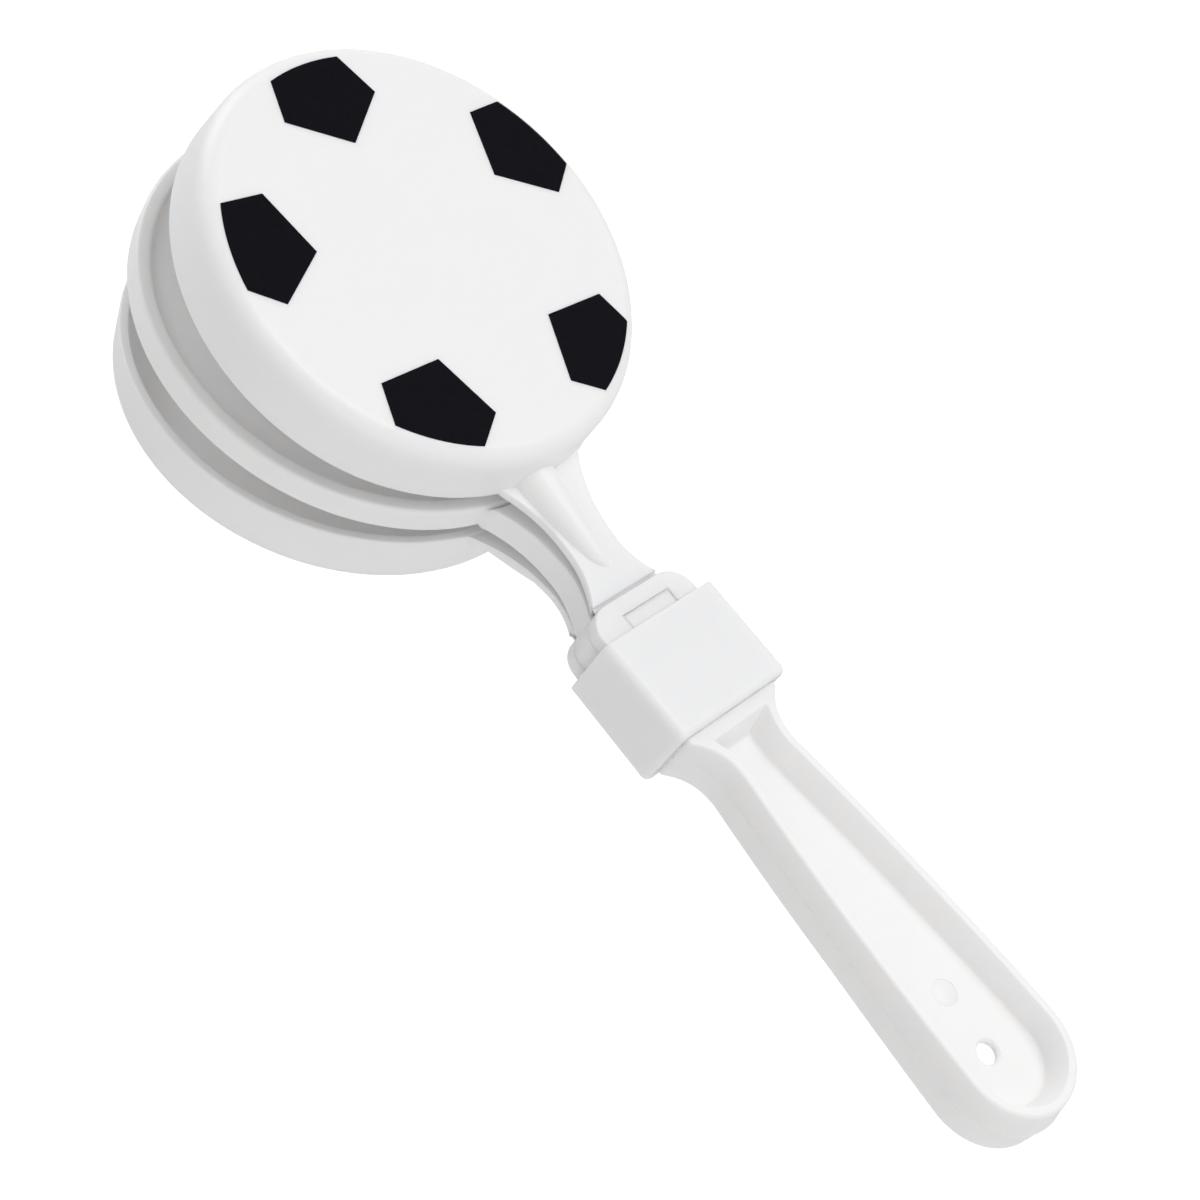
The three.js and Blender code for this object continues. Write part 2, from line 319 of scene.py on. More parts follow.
def smooth_shading(piece, sharp=40):
    bm = bmesh.new()
    bm.from_mesh(piece.data)
    for face in bm.faces:
        face.smooth = True
    for edge in bm.edges:
        edge.smooth = edge.calc_face_angle(0) < math.radians(sharp)
    bm.to_mesh(piece.data)
    bm.free()
    weighted = piece.modifiers.new("even_shading", "WEIGHTED_NORMAL")
    weighted.keep_sharp = True


def rounded(corners, steps):
    """The path through corners of two coordinates and a radius, with each corner rounded."""
    path = []
    for i, (a, b, radius) in enumerate(corners):
        here = Vector((a, b))
        if not radius:
            path.append(here)
            continue
        back = (Vector(corners[i - 1][:2]) - here).normalized()
        ahead = (Vector(corners[i + 1][:2]) - here).normalized()
        half = back.angle(ahead) / 2
        centre = here + (back + ahead).normalized() * radius / math.sin(half)
        start = here + back * radius / math.tan(half) - centre
        end = here + ahead * radius / math.tan(half) - centre
        path.extend(centre + start.slerp(end, k / steps) * radius for k in range(steps + 1))
    return path


def lathe(path, centre_x):
    """Turns a path of radius and height, both ends on the axis, around the upright axis."""
    bm = bmesh.new()
    points = [bm.verts.new((radius, 0, height)) for radius, height in path]
    lines = [bm.edges.new(pair) for pair in zip(points, points[1:])]
    bmesh.ops.spin(
        bm,
        geom=points + lines,
        cent=(0, 0, 0),
        axis=(0, 0, 1),
        angle=2 * math.pi,
        steps=turn_steps,
        use_merge=True,
    )
    bmesh.ops.remove_doubles(bm, verts=bm.verts, dist=merge_distance)
    bmesh.ops.recalc_face_normals(bm, faces=bm.faces)
    bmesh.ops.translate(bm, vec=(centre_x, 0, 0), verts=bm.verts)
    return bm


def loft(levels, count, place, closed=False):
    """Extrudes a ring of numbered points from level to level, and closes it or caps its end."""
    bm = bmesh.new()
    number = bm.verts.layers.int.new("number")
    ring = [bm.verts.new(place(i, levels[0])) for i in range(count)]
    for i, vertex in enumerate(ring):
        vertex[number] = i
    edges = [bm.edges.new(pair) for pair in zip(ring, ring[1:] + ring[:1])]
    for level in levels[1:]:
        made = bmesh.ops.extrude_edge_only(bm, edges=edges)["geom"]
        fresh = {item for item in made if isinstance(item, bmesh.types.BMVert)}
        for vertex in fresh:
            vertex.co = place(vertex[number], level)
        lines = (item for item in made if isinstance(item, bmesh.types.BMEdge))
        edges = [line for line in lines if fresh.issuperset(line.verts)]
    if closed:
        bmesh.ops.remove_doubles(bm, verts=bm.verts, dist=merge_distance)
    else:
        bmesh.ops.contextual_create(bm, geom=edges)
    return bm


def thicken(bm, height):
    """Extrudes all the faces upwards."""
    made = bmesh.ops.extrude_face_region(bm, geom=bm.faces[:])["geom"]
    raised = [item for item in made if isinstance(item, bmesh.types.BMVert)]
    bmesh.ops.translate(bm, vec=(0, 0, height), verts=raised)


def neck_half_width(x, root_x, root_width):
    if x < -waist_reach:
        share = (waist_reach + x) / (waist_reach + root_x)
        return waist_half_width + (root_width - waist_half_width) * share**root_flare
    share = min(1, (x + waist_reach) / waist_reach)
    return waist_half_width + (hinge_half_width - waist_half_width) * share**hinge_flare


def parts_of(faces, kind):
    """The faces' verts or edges, each once and in the same order at every run."""
    return list(dict.fromkeys(part for face in faces for part in getattr(face, kind)))


def neck_strip(bm, centre_x, low, high):
    """The faces of a turned wall, between two heights, that a neck grows out of."""
    column = bm.verts.layers.int.new("column")
    upper = bm.verts.layers.int.new("upper")
    strip = []
    for face in bm.faces:
        middle = face.calc_center_median()
        outward = Vector((middle.x - centre_x, middle.y))
        near = abs(math.atan2(outward.y, outward.x)) < neck_columns * step_angle
        if near and low < middle.z < high and outward.dot(face.normal.xy) > outward.length / 2:
            strip.append(face)
    for vertex in parts_of(strip, "verts"):
        vertex[column] = round(math.atan2(vertex.co.y, vertex.co.x - centre_x) / step_angle)
        vertex[upper] = vertex.co.z > (low + high) / 2
    return strip


def grow(bm, strip, stations, place):
    """Extrudes the strip from station to station. Place puts each vertex where it belongs."""
    column = bm.verts.layers.int["column"]
    upper = bm.verts.layers.int["upper"]
    for station in stations:
        region = strip + parts_of(strip, "edges") + parts_of(strip, "verts")
        made = bmesh.ops.extrude_face_region(bm, geom=region)["geom"]
        strip = [item for item in made if isinstance(item, bmesh.types.BMFace)]
        for vertex in parts_of(strip, "verts"):
            vertex.co = place(station, vertex[column] / neck_columns, vertex[upper])
    return strip


def soften_neck(bm, end, start_x, width, end_width):
    """Rounds a neck's long edges from a place on, and then those around its end."""
    column = bm.verts.layers.int["column"]
    inside = set(end)
    around = [edge for edge in parts_of(end, "edges") if not inside.issuperset(edge.link_faces)]
    sides = []
    for edge in bm.edges:
        at_side = all(abs(vertex[column]) == neck_columns for vertex in edge.verts)
        along = all(vertex.co.x > start_x for vertex in edge.verts)
        if at_side and along and edge not in around and edge.calc_face_angle(0) > neck_corner:
            sides.append(edge)
    for edges, offset, segments in ((sides, width, 3), (around, end_width, 2)):
        bmesh.ops.bevel(
            bm,
            geom=[edge for edge in edges if edge.is_valid],
            offset=offset,
            offset_type="OFFSET",
            segments=segments,
            profile=0.5,
            affect="EDGES",
            clamp_overlap=False,
            material=-1,
        )
    bmesh.ops.remove_doubles(bm, verts=bm.verts, dist=merge_distance)
    slivers = [face for face in bm.faces if any(edge.is_boundary for edge in face.edges)]
    bmesh.ops.delete(bm, geom=slivers, context="FACES")


def wall_radius(z):
    """The cup's drafted outside at a height."""
    return cup_radius - cup_draft * (z - rim_level) / cup_depth


def cup_top_path():
    """The face and its softly rounded edge, from the middle to where the wall begins."""
    level = face_level - cup_edge_height
    flat = wall_radius(level) - cup_edge_width
    turns = [math.pi / 2 * i / cup_edge_steps for i in range(cup_edge_steps + 1)]
    edge = [
        (flat + cup_edge_width * math.sin(turn), level + cup_edge_height * math.cos(turn))
        for turn in turns
    ]
    return [(0, face_level)] + edge


def cup_profile():
    inside = rounded(
        [
            (wall_radius(plate_top), plate_top, 0),
            (cup_radius, rim_level, rim_edge),
            (cup_radius - cup_wall, rim_level, rim_edge),
            (wall_radius(face_level) - cup_wall, face_level - cup_wall, cup_inner_corner),
            (0, face_level - cup_wall, 0),
        ],
        cup_corner_steps,
    )
    return cup_top_path() + inside


def rib_section(x, share):
    """A column's place across the plate and its height over it: flat, bowed rib, flat."""
    run = min(1, max(0, (-rib_start - x) / (root_reach - rib_start)))
    half = rib_tip + (rib_half_width - rib_tip) * run**rib_swell
    middle = -rib_aside * half
    width = neck_half_width(x, -root_reach, root_half_width)
    count = share * neck_columns
    if count < rib_first_column:
        flange = (rib_first_column - count) / (neck_columns + rib_first_column)
        return middle - half + (half - middle - width) * flange, 0
    if count > rib_last_column:
        flange = (count - rib_last_column) / (neck_columns - rib_last_column)
        return middle + half + (width - middle - half) * flange, 0
    span = rib_last_column - rib_first_column
    turn = rib_bow * (2 * (count - rib_first_column) / span - 1)
    bow = (math.cos(turn) - math.cos(rib_bow)) / (1 - math.cos(rib_bow))
    return middle + half * math.sin(turn) / math.sin(rib_bow), (half - rib_tip) * bow


def cup_edge_x(y, z):
    return math.sqrt(wall_radius(z) ** 2 - y**2) - cup_reach


def plate_place(station, share, upper):
    corner = wall_radius(rim_level) * math.sin(neck_columns * step_angle)
    root_x = cup_edge_x(corner, rim_level)
    x = root_x + (-film_gap / 2 - root_x) * station
    y, rise = rib_section(x, share)
    z = plate_top + rise if upper else rim_level
    bulge = (cup_edge_x(y, z) - root_x) * (1 - station) ** root_ease
    lean = (z - rim_level) * math.tan(end_lean) * station**end_lean_ease
    return Vector((x + bulge - lean, y, z))


def settle(bm, side):
    """Draws out the cup's far half a little, and sets the front cup to one side of its neck."""
    stretch = front_tip_stretch if side > 0 else rear_tip_stretch
    aside = cup_aside if side > 0 else 0
    for vertex in bm.verts:
        reach = -vertex.co.x
        vertex.co.y -= aside * min(1, max(0, reach - root_reach) / cup_aside_run)
        vertex.co.x -= stretch * max(0, reach - cup_reach) / cup_radius


def clapper_mesh(side):
    """A cup with its neck plate and rib, at its hinge. Side is 1 in front and -1 behind."""
    bm = lathe(cup_profile(), -cup_reach)
    strip = neck_strip(bm, -cup_reach, rim_level + rim_edge / 2, plate_top)
    column = bm.verts.layers.int["column"]
    upper = bm.verts.layers.int["upper"]
    for vertex in parts_of(strip, "verts"):
        spot = plate_place(0, vertex[column] / neck_columns, vertex[upper])
        vertex.co.x = spot.x
        vertex.co.y = spot.y
        if vertex[upper]:
            vertex.co.z = spot.z
    stations = [i / plate_steps for i in range(1, plate_steps + 1)]
    end = grow(bm, strip, stations, plate_place)
    soften_neck(bm, end, soft_side_run - root_reach, side_edge, end_edge)
    settle(bm, side)
    if side < 0:
        bmesh.ops.scale(bm, vec=(1, 1, -1), verts=bm.verts)
        bmesh.ops.reverse_faces(bm, faces=bm.faces)
    return bm


def open_place(side):
    """Carries a clapper from its hinge's own place to where it stands open in the toy."""
    turn = Matrix.Rotation(open_angle * side, 4, "Y")
    return Matrix.Translation((0, 0, hinge_height * side * MM)) @ turn


def make_clapper(name, side):
    piece = piece_from(clapper_mesh(side), name)
    piece.data.transform(open_place(side))
    smooth_shading(piece)
    return piece


def disc_profile():
    recess = disc_radius - disc_rim
    upper = [
        (0, disc_web_half, 0),
        (recess - disc_rim_draft, disc_web_half, disc_edge),
        (recess, disc_half, disc_edge),
        (disc_radius, disc_half, disc_edge),
    ]
    lower = [(radius, -height, round_off) for radius, height, round_off in reversed(upper)]
    return rounded(upper + lower, disc_corner_steps)


def head_half_width(x):
    """The core's and the tails' rounded front corners."""
    run = min(1, max(0, (x - film_gap / 2) / tail_corner))
    return tail_high.y - tail_corner + tail_corner * math.sqrt(1 - (1 - run) ** 2)


def core_place(x, share, upper):
    root_x = disc_radius * math.cos(neck_columns * step_angle) - disc_reach
    neck = neck_half_width(x, -neck_root_reach, neck_root_half_width) + neck_over_plate
    width = max(neck, head_half_width(x)) if x > film_gap / 2 else neck
    y = width * share
    run = (x - root_x) / -root_x
    rim_x = math.sqrt(disc_radius**2 - y**2) - disc_reach
    bulge = (rim_x - root_x) * max(0, 1 - run) ** root_ease
    return Vector((x + bulge, y, disc_half if upper else -disc_half))


def head_corner(turns):
    """How far along the toy the points of a rounded front corner lie."""
    return [film_gap / 2 + tail_corner * (1 - math.cos(math.radians(turn))) for turn in turns]


def core_stations():
    start = disc_radius * math.cos(neck_columns * step_angle) - disc_reach
    neck = [start + (neck_end - start) * i / neck_steps for i in range(1, neck_steps + 1)]
    return neck + head_corner(core_corner_turns) + [core_end]


def disc_and_core():
    bm = lathe(disc_profile(), -disc_reach)
    strip = neck_strip(bm, -disc_reach, -disc_half + disc_edge, disc_half - disc_edge)
    end = grow(bm, strip, core_stations(), core_place)
    soften_neck(bm, end, soft_side_run - neck_root_reach, side_edge, core_end_edge)
    return piece_from(bm, "handle_moulding")


def block(low, high):
    """A box between two corners, in millimetres."""
    bm = bmesh.new()
    bmesh.ops.create_cube(bm, size=1)
    low, high = Vector(low), Vector(high)
    bmesh.ops.scale(bm, vec=high - low, verts=bm.verts)
    bmesh.ops.translate(bm, vec=(low + high) / 2, verts=bm.verts)
    return piece_from(bm, "block")


def grip_half_width(x):
    if x <= shoulder_full:
        return shoulder_half_width
    if x < grip_narrow_reach:
        run = (x - shoulder_full) / (grip_narrow_reach - shoulder_full)
        return grip_narrow + (shoulder_half_width - grip_narrow) * (1 - run) ** shoulder_sweep
    run = min(1, (x - grip_narrow_reach) / (arc_centre - grip_narrow_reach))
    return grip_narrow + (grip_end_radius - grip_narrow) * (run + grip_swell * run * (1 - run))


def grip_place(i, level):
    """Point i of the grip's outline, drawn in by the level's inset, at the level's height."""
    inset, z = level
    in_channel = inset > (grip_rim + grip_edge) / 2
    start = shoulder_start
    if in_channel:
        start = channel_start + (inset - grip_rim) * channel_ramp
    count = min(i, 2 * grip_steps - i)
    side = -1 if i < grip_steps else 1
    if count >= side_steps:
        angle = math.pi / 2 * (1 - (count - side_steps) / arc_steps)
        radius = grip_end_radius - inset
        return Vector((arc_centre + radius * math.cos(angle), side * radius * math.sin(angle), z))
    run = (arc_centre - start) * (count / side_steps) ** 2
    width = grip_half_width(start + run) - inset
    if in_channel:
        width -= channel_narrowing * math.exp(-run / channel_ease)
        from_corner = max(0, channel_corner - run)
        width -= channel_corner - math.sqrt(channel_corner**2 - from_corner**2)
    return Vector((start + run, side * width, z))


def grip_block():
    floor_inset = grip_rim + channel_draft
    levels = rounded(
        [
            (-parting_ridge, 0, 0),
            (0, parting_half, 0),
            (grip_draft, grip_half, grip_edge),
            (grip_rim, grip_half, mouth_edge),
            (floor_inset, web_half, channel_foot),
            (floor_inset + channel_foot, web_half, 0),
        ],
        grip_corner_steps,
    )
    bm = loft(levels, 2 * grip_steps + 1, grip_place)
    everything = bm.verts[:] + bm.edges[:] + bm.faces[:]
    bmesh.ops.mirror(bm, geom=everything, axis="Z", merge_dist=mirror_merge_distance)
    bmesh.ops.recalc_face_normals(bm, faces=bm.faces)
    swell_end(bm)
    return piece_from(bm, "grip_block")


def swell_end(bm):
    """Makes the grip's end wider and deeper towards its back than it is in front."""
    for vertex in bm.verts:
        x, y, z = vertex.co
        run = (max(0, x - end_swell_start) / (grip_end - end_swell_start)) ** end_swell_power
        share = end_swell * run * min(1, max(0, 1 - z / grip_half))
        vertex.co.y += share * y / grip_end_radius
        vertex.co.x += share * max(0, x - arc_centre) / grip_end_radius
        if z < 0:
            vertex.co.z += end_drop * run * z / grip_half


def hole_cutter():
    """The lanyard hole with its mouth flared on both sides."""
    straight = web_half / 2
    mouth = hole_radius + cutter_over - straight
    path = [(0, -cutter_over), (mouth, -cutter_over), (hole_radius, -straight)]
    path += [(radius, -height) for radius, height in reversed(path)]
    bm = lathe(path, hole_x)
    bmesh.ops.translate(bm, vec=(0, hole_aside, 0), verts=bm.verts)
    return piece_from(bm, "hole_cutter")


def pin_mark_cutter():
    """The ejector pin's mark: a fine ring around a disc that is a little deeper on one side."""
    floor = web_half - pin_mark_depth
    path = [
        (0, floor),
        (pin_mark_radius - 2 * pin_mark_groove_half, floor),
        (pin_mark_radius - pin_mark_groove_half, floor - pin_mark_groove),
        (pin_mark_radius, floor),
        (pin_mark_radius, cutter_over),
        (0, cutter_over),
    ]
    bm = lathe(path, 0)
    lean = Matrix.Rotation(pin_mark_lean, 4, pin_mark_lean_axis)
    bmesh.ops.transform(bm, matrix=lean, verts=bm.verts)
    bmesh.ops.translate(bm, vec=(pin_mark_x, 0, 0), verts=bm.verts)
    return piece_from(bm, "pin_mark_cutter")


def make_handle():
    grip = grip_block()
    combine(grip, hole_cutter(), "DIFFERENCE")
    combine(grip, pin_mark_cutter(), "DIFFERENCE")
    handle = disc_and_core()
    for gap, sunk, turn in ((lug_foot_gap, lug_foot_sunk, 0), (lug_gap, lug_sunk, lug_turn)):
        top = tail_high.z - sunk
        half = window_half_width - gap
        lug = block(
            (window_start + gap, window_offset - half, -top),
            (window_end - gap, window_offset + half, top),
        )
        lug.data.transform(Matrix.Rotation(turn, 4, "Z"))
        soften(lug, lug_edge)
        combine(handle, lug, "UNION")
    combine(handle, grip, "UNION")
    smooth_shading(handle)
    return handle


def rectangle_point(i, half_width, half_height, corner):
    """Point i of a rounded rectangle's outline across the toy."""
    quarter, step = divmod(i, collar_corner_steps + 1)
    angle = math.pi / 2 * (quarter + step / collar_corner_steps)
    side = 1 if quarter in (0, 3) else -1
    above = 1 if quarter in (0, 1) else -1
    y = side * (half_width - corner) + corner * math.cos(angle)
    z = above * (half_height - corner) + corner * math.sin(angle)
    return y, z


def collar_place(i, level):
    x, inset, bore = level
    half_width, half_height = collar_high.y, collar_high.z
    if bore:
        y, z = rectangle_point(
            i,
            half_width - collar_side_wall + inset,
            half_height - collar_top_wall + inset,
            collar_bore_corner + inset,
        )
    else:
        corner = max(collar_least_corner, collar_corner - inset)
        y, z = rectangle_point(i, half_width - inset, half_height - inset, corner)
    if z < 0:
        z -= collar_slope * (x - collar_low.x)
    return Vector((x, y + collar_aside, z))


def make_collar():
    start, end = collar_low.x, collar_high.x + collar_over
    outside = rounded(
        [
            (start, 1, 0),
            (start, 0, collar_front_edge),
            (end, 0, collar_end_edge),
            (end, 1, 0),
        ],
        collar_edge_steps,
    )
    levels = [(x, inset, False) for x, inset in outside]
    wide_end = end - collar_snug_run - collar_snug_ease
    levels += [
        (end, collar_snug, True),
        (end - collar_snug_run, collar_snug, True),
        (wide_end, 0, True),
        (start + collar_lip, 0, True),
        (start, collar_lip, True),
        levels[0],
    ]
    bm = loft(levels, 4 * (collar_corner_steps + 1), collar_place, closed=True)
    bmesh.ops.recalc_face_normals(bm, faces=bm.faces)
    piece = piece_from(bm, "collar_sleeve")
    smooth_shading(piece)
    return piece


def tail_mesh(side):
    """A clamped tail with its window, in front or behind."""
    bm = bmesh.new()
    corner = [(x, head_half_width(x)) for x in head_corner(tail_corner_turns)]
    half = corner + [(tail_high.x, tail_high.y)]
    outline = half + [(x, -y) for x, y in reversed(half)]
    left, right = window_offset - window_half_width, window_offset + window_half_width
    window = [(window_start, left), (window_end, left), (window_end, right), (window_start, right)]
    edges = []
    for path in (outline, window):
        points = [bm.verts.new((x, y, tail_low.z)) for x, y in path]
        edges += [bm.edges.new(pair) for pair in zip(points, points[1:] + points[:1])]
    bmesh.ops.triangle_fill(bm, use_beauty=True, edges=edges)
    thicken(bm, tail_high.z - tail_low.z)
    if side < 0:
        bmesh.ops.scale(bm, vec=(1, 1, -1), verts=bm.verts)
    bmesh.ops.recalc_face_normals(bm, faces=bm.faces)
    return bm


def make_tail(name, side):
    piece = piece_from(tail_mesh(side), name)
    soften(piece, tail_edge)
    smooth_shading(piece)
    return piece


def make_film(name, side):
    """The thin web between a neck plate and its tail. Both of its ends are sunk in them."""
    bm = bmesh.new()
    bmesh.ops.create_grid(bm, x_segments=12, y_segments=8, size=0.5)
    length = film_gap + 2 * film_sunk
    width = 2 * (hinge_half_width - film_side_gap)
    bmesh.ops.scale(bm, vec=(length, width, 1), verts=bm.verts)
    bmesh.ops.solidify(bm, geom=bm.faces[:], thickness=2 * film_half_thickness)
    middle = sum(vertex.co.z for vertex in bm.verts) / len(bm.verts)
    level = (hinge_height + film_over_axis) * side
    bmesh.ops.translate(bm, vec=(0, 0, level - middle), verts=bm.verts)
    bmesh.ops.recalc_face_normals(bm, faces=bm.faces)
    piece = piece_from(bm, name)
    smooth_shading(piece)
    return piece


def pentagon_prism(index):
    """A printed pentagon at its place, as a prism that reaches through the face."""
    bm = bmesh.new()
    bmesh.ops.create_circle(bm, cap_ends=True, segments=5, radius=pentagon_radius)
    inward, aside, turn = print_places[index]
    own_turn = Matrix.Rotation(math.radians(turn - 90), 3, "Z")
    bmesh.ops.rotate(bm, cent=(0, 0, 0), matrix=own_turn, verts=bm.verts)
    bmesh.ops.translate(bm, vec=(inward - pentagon_reach, aside, ink_low), verts=bm.verts)
    thicken(bm, ink_high - ink_low)
    bmesh.ops.recalc_face_normals(bm, faces=bm.faces)
    around = Matrix.Rotation(-2 * math.pi * index / pentagon_count, 3, "Z")
    bmesh.ops.rotate(bm, cent=(0, 0, 0), matrix=around, verts=bm.verts)
    bmesh.ops.translate(bm, vec=(-cup_reach, 0, 0), verts=bm.verts)
    return piece_from(bm, f"ink_pentagon_{index + 1}")


def print_circle():
    """A cylinder around the part of the face that is printed."""
    path = [(0, ink_below), (print_limit, ink_below), (print_limit, ink_above), (0, ink_above)]
    return piece_from(lathe(path, -cup_reach), "print_circle")


def ink_skin():
    """What lies under a skin that follows the face a little above it."""
    top = [(radius, height + ink_height) for radius, height in cup_top_path()[:ink_edge_points]]
    bm = lathe([(0, ink_below), (top[-1][0], ink_below)] + top[::-1], -cup_reach)
    settle(bm, 1)
    return piece_from(bm, "ink_skin")


def make_pentagon(index):
    """A film of ink that follows the face, cut off by the circle that bounds the print."""
    piece = pentagon_prism(index)
    combine(piece, print_circle(), "INTERSECT")
    combine(piece, ink_skin(), "INTERSECT")
    piece.data.transform(open_place(1))
    smooth_shading(piece)
    return piece


# Materials

def new_group(name, inputs, outputs):
    """An empty shader node group with named sockets."""
    group = bpy.data.node_groups.new(name, "ShaderNodeTree")
    for label, kind, value in inputs:
        socket = group.interface.new_socket(label, in_out="INPUT", socket_type=kind)
        socket.default_value = value
    for label, kind in outputs:
        group.interface.new_socket(label, in_out="OUTPUT", socket_type=kind)
    enter = group.nodes.new("NodeGroupInput")
    leave = group.nodes.new("NodeGroupOutput")
    return group, enter, leave


def add(tree, kind, inputs=None, **settings):
    """A node with its settings and its inputs, each a value or another node's output."""
    node = tree.nodes.new(kind)
    for name, value in settings.items():
        setattr(node, name, value)
    for name, value in (inputs or {}).items():
        socket = node.inputs[name]
        if isinstance(value, bpy.types.NodeSocket):
            tree.links.new(value, socket)
        else:
            socket.default_value = value
    return node


def calculate(tree, operation, a, b):
    """The output of a node that does one sum."""
    return add(tree, "ShaderNodeMath", {0: a, 1: b}, operation=operation).outputs[0]


def blend_colours(tree, factor, none, full):
    """The output of a node that goes from one colour to another with the factor."""
    inputs = {0: factor, 6: none, 7: full}
    return add(tree, "ShaderNodeMix", inputs, data_type="RGBA").outputs[2]


def speck_group():
    """Rare dark specks: a cell of the pattern holds a dot where its random number is high."""
    group, enter, leave = new_group(
        "specks",
        [
            ("Vector", "NodeSocketVector", (0, 0, 0)),
            ("Cells", "NodeSocketFloat", 150.0),
            ("Radius", "NodeSocketFloat", 0.02),
            ("Share", "NodeSocketFloat", 0.1),
        ],
        [("Mask", "NodeSocketFloat")],
    )
    cells = add(
        group,
        "ShaderNodeTexVoronoi",
        {"Vector": enter.outputs["Vector"], "Scale": enter.outputs["Cells"]},
    )
    chance = add(group, "ShaderNodeSeparateColor", {"Color": cells.outputs["Color"]})
    chosen = calculate(group, "LESS_THAN", chance.outputs[0], enter.outputs["Share"])
    size = calculate(group, "MULTIPLY", chance.outputs[1], enter.outputs["Radius"])
    dot = calculate(group, "LESS_THAN", cells.outputs["Distance"], size)
    both = calculate(group, "MULTIPLY", chosen, dot)
    group.links.new(both, leave.inputs["Mask"])
    return group


def grain_group():
    """Height of a moulded skin: slow waves of shrinkage and a fine grain over them."""
    group, enter, leave = new_group(
        "moulded_grain",
        [
            ("Vector", "NodeSocketVector", (0, 0, 0)),
            ("Waves", "NodeSocketFloat", 1.0),
            ("Grain", "NodeSocketFloat", 1.0),
        ],
        [("Height", "NodeSocketFloat"), ("Mottle", "NodeSocketFloat")],
    )
    waves = add(
        group,
        "ShaderNodeTexNoise",
        {"Vector": enter.outputs["Vector"], "Scale": 90.0, "Detail": 1.0},
    )
    grain = add(
        group,
        "ShaderNodeTexNoise",
        {"Vector": enter.outputs["Vector"], "Scale": 1500.0, "Detail": 2.0},
    )
    slow = calculate(group, "MULTIPLY", waves.outputs[0], enter.outputs["Waves"])
    fine = calculate(group, "MULTIPLY", grain.outputs[0], enter.outputs["Grain"])
    height = calculate(group, "ADD", slow, fine)
    group.links.new(height, leave.inputs["Height"])
    group.links.new(waves.outputs[0], leave.inputs["Mottle"])
    return group


SPECKS = speck_group()
GRAIN = grain_group()


def use_group(tree, group, inputs):
    return add(tree, "ShaderNodeGroup", inputs, node_tree=group)


def start_material(name):
    material = bpy.data.materials.new(name)
    material.use_nodes = True
    tree = material.node_tree
    shader = tree.nodes["Principled BSDF"]
    place = tree.nodes.new("ShaderNodeTexCoord")
    return material, tree, shader, place.outputs["Object"]


def white_plastic():
    """Satin white polypropylene with a trace of unevenness, specks and handling dirt."""
    material, tree, shader, place = start_material("white_plastic")
    grain = use_group(tree, GRAIN, {"Vector": place, "Waves": 1.0, "Grain": 0.12})
    specks = use_group(
        tree,
        SPECKS,
        {"Vector": place, "Cells": 170.0, "Radius": 0.035, "Share": 0.07},
    )
    cool, warm, dirt = (0.915, 0.912, 0.92, 1), (0.93, 0.925, 0.92, 1), (0.32, 0.28, 0.25, 1)
    tone = blend_colours(tree, grain.outputs["Mottle"], cool, warm)
    tone = blend_colours(tree, specks.outputs["Mask"], tone, dirt)
    tree.links.new(tone, shader.inputs["Base Color"])
    gloss = add(
        tree,
        "ShaderNodeMapRange",
        {"Value": grain.outputs["Mottle"], "To Min": 0.36, "To Max": 0.46},
    )
    tree.links.new(gloss.outputs[0], shader.inputs["Roughness"])
    bump = add(
        tree,
        "ShaderNodeBump",
        {"Height": grain.outputs["Height"], "Strength": 0.6, "Distance": 0.00006},
    )
    tree.links.new(bump.outputs[0], shader.inputs["Normal"])
    shader.inputs["IOR"].default_value = 1.49
    shader.inputs["Subsurface Weight"].default_value = 0.6
    shader.inputs["Subsurface Radius"].default_value = (1.0, 0.92, 0.8)
    shader.inputs["Subsurface Scale"].default_value = 0.002
    return material


def printed_ink():
    """Pad-printed ink, almost black, with faint clouds and a slight grain."""
    material, tree, shader, place = start_material("printed_ink")
    grain = use_group(tree, GRAIN, {"Vector": place, "Waves": 0.4, "Grain": 0.5})
    cloud = add(tree, "ShaderNodeTexNoise", {"Vector": place, "Scale": 900.0, "Detail": 3.0})
    dense, thin = (0.002, 0.002, 0.004, 1), (0.006, 0.0055, 0.009, 1)
    tone = blend_colours(tree, cloud.outputs[0], dense, thin)
    tree.links.new(tone, shader.inputs["Base Color"])
    gloss = add(
        tree,
        "ShaderNodeMapRange",
        {"Value": cloud.outputs[0], "To Min": 0.42, "To Max": 0.56},
    )
    tree.links.new(gloss.outputs[0], shader.inputs["Roughness"])
    bump = add(
        tree,
        "ShaderNodeBump",
        {"Height": grain.outputs["Height"], "Strength": 0.5, "Distance": 0.00003},
    )
    tree.links.new(bump.outputs[0], shader.inputs["Normal"])
    shader.inputs["Specular IOR Level"].default_value = 0.04
    return material


def dress(piece, material, slot, body, *nodes):
    piece.data.materials.clear()
    piece.data.materials.append(material)
    if body:
        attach(piece, body)
    if nodes:
        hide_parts(*nodes)


PLASTIC = white_plastic()
INK = printed_ink()

dress(make_handle(), PLASTIC, "white_plastic", "handle", "handle")
dress(make_collar(), PLASTIC, "white_plastic", "handle", "collar")
for place, side in (("front", 1), ("rear", -1)):
    body = f"{place}_clapper"
    dress(make_clapper(f"{place}_clapper_moulding", side), PLASTIC, "white_plastic", body, body)
    tail = make_tail(f"{place}_tail_leaf", side)
    dress(tail, PLASTIC, "white_plastic", "handle", f"{place}_tail")
    film = make_film(f"{place}_film_hinge", side)
    dress(film, PLASTIC, "white_plastic", None)
    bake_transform(film)
for index in range(pentagon_count):
    dress(make_pentagon(index), INK, "printed_ink", "front_clapper", f"pentagon_{index + 1}")


# Floor and light

FLOOR_LEVEL = -0.0615
FLOOR_TONE = 0.8
FLOOR_GLOW = 0.6
WORLD_LIGHT = 0.57


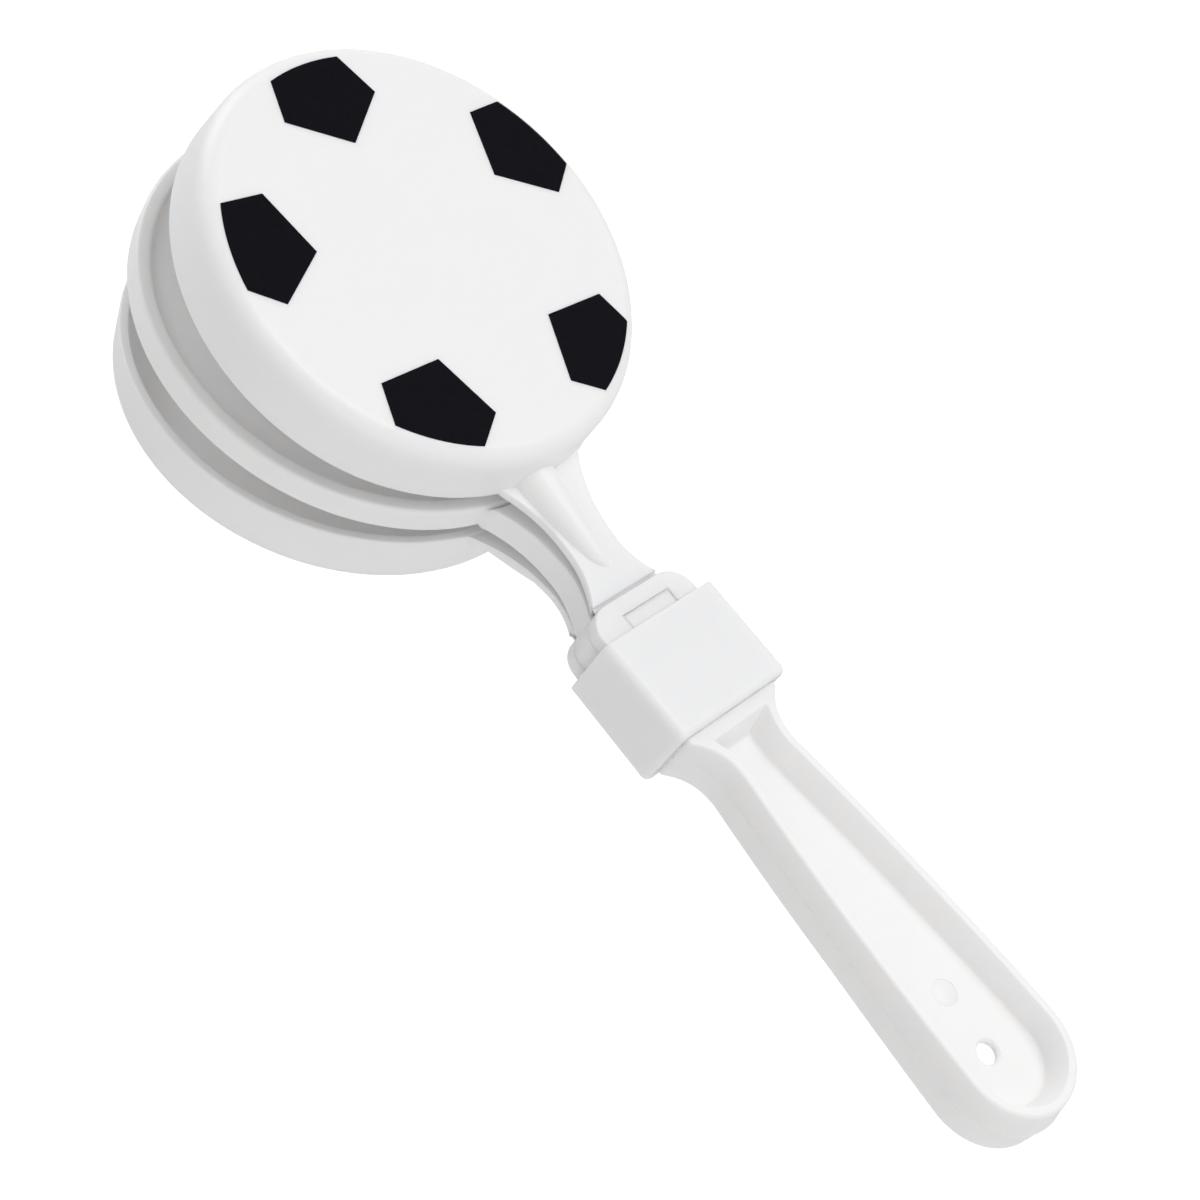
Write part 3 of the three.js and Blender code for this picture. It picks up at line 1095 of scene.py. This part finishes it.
def make_floor():
    bm = bmesh.new()
    bmesh.ops.create_grid(bm, x_segments=1, y_segments=1, size=4.0)
    mesh = bpy.data.meshes.new("floor")
    bm.to_mesh(mesh)
    bm.free()
    mesh.transform(Matrix.Translation((0, 0, FLOOR_LEVEL)))
    floor = bpy.data.objects.new("floor", mesh)
    bpy.context.scene.collection.objects.link(floor)
    material, tree, shader, _ = start_material("pale_floor")
    shader.inputs["Base Color"].default_value = (FLOOR_TONE,) * 3 + (1,)
    shader.inputs["Roughness"].default_value = 0.9
    shader.inputs["Specular IOR Level"].default_value = 0.1
    shader.inputs["Emission Color"].default_value = (1, 1, 1, 1)
    seen = tree.nodes.new("ShaderNodeLightPath")
    glow = calculate(tree, "MULTIPLY", seen.outputs["Is Camera Ray"], FLOOR_GLOW)
    tree.links.new(glow, shader.inputs["Emission Strength"])
    mesh.materials.append(material)


def make_softbox(name, place, size, power):
    """A round lamp, of a diameter in metres, that faces the middle of the toy."""
    data = bpy.data.lights.new(name, "AREA")
    data.shape = "DISK"
    data.size = size
    data.energy = power
    lamp = bpy.data.objects.new(name, data)
    bpy.context.scene.collection.objects.link(lamp)
    lamp.location = place
    lamp.rotation_mode = "QUATERNION"
    lamp.rotation_quaternion = (-Vector(place)).to_track_quat("-Z", "Y")


def light_scene():
    world = bpy.data.worlds.new("studio")
    world.use_nodes = True
    tree = world.node_tree
    background = tree.nodes["Background"]
    background.inputs["Color"].default_value = (1.0, 1.0, 1.0, 1)
    seen = tree.nodes.new("ShaderNodeLightPath")
    level = add(
        tree,
        "ShaderNodeMapRange",
        {"Value": seen.outputs["Is Camera Ray"], "To Min": WORLD_LIGHT, "To Max": 1.0},
    )
    tree.links.new(level.outputs[0], background.inputs["Strength"])
    bpy.context.scene.world = world
    make_softbox("overhead", (0.12, 0.41, 1.17), size=0.9, power=5.5)
    make_softbox("grip_side", (0.95, -0.75, 0.4), size=0.7, power=2.0)
    make_softbox("tip_side", (-1.2, 0.15, 0.3), size=0.7, power=3.6)
    bpy.context.scene.view_settings.view_transform = "Standard"


make_floor()
light_scene()
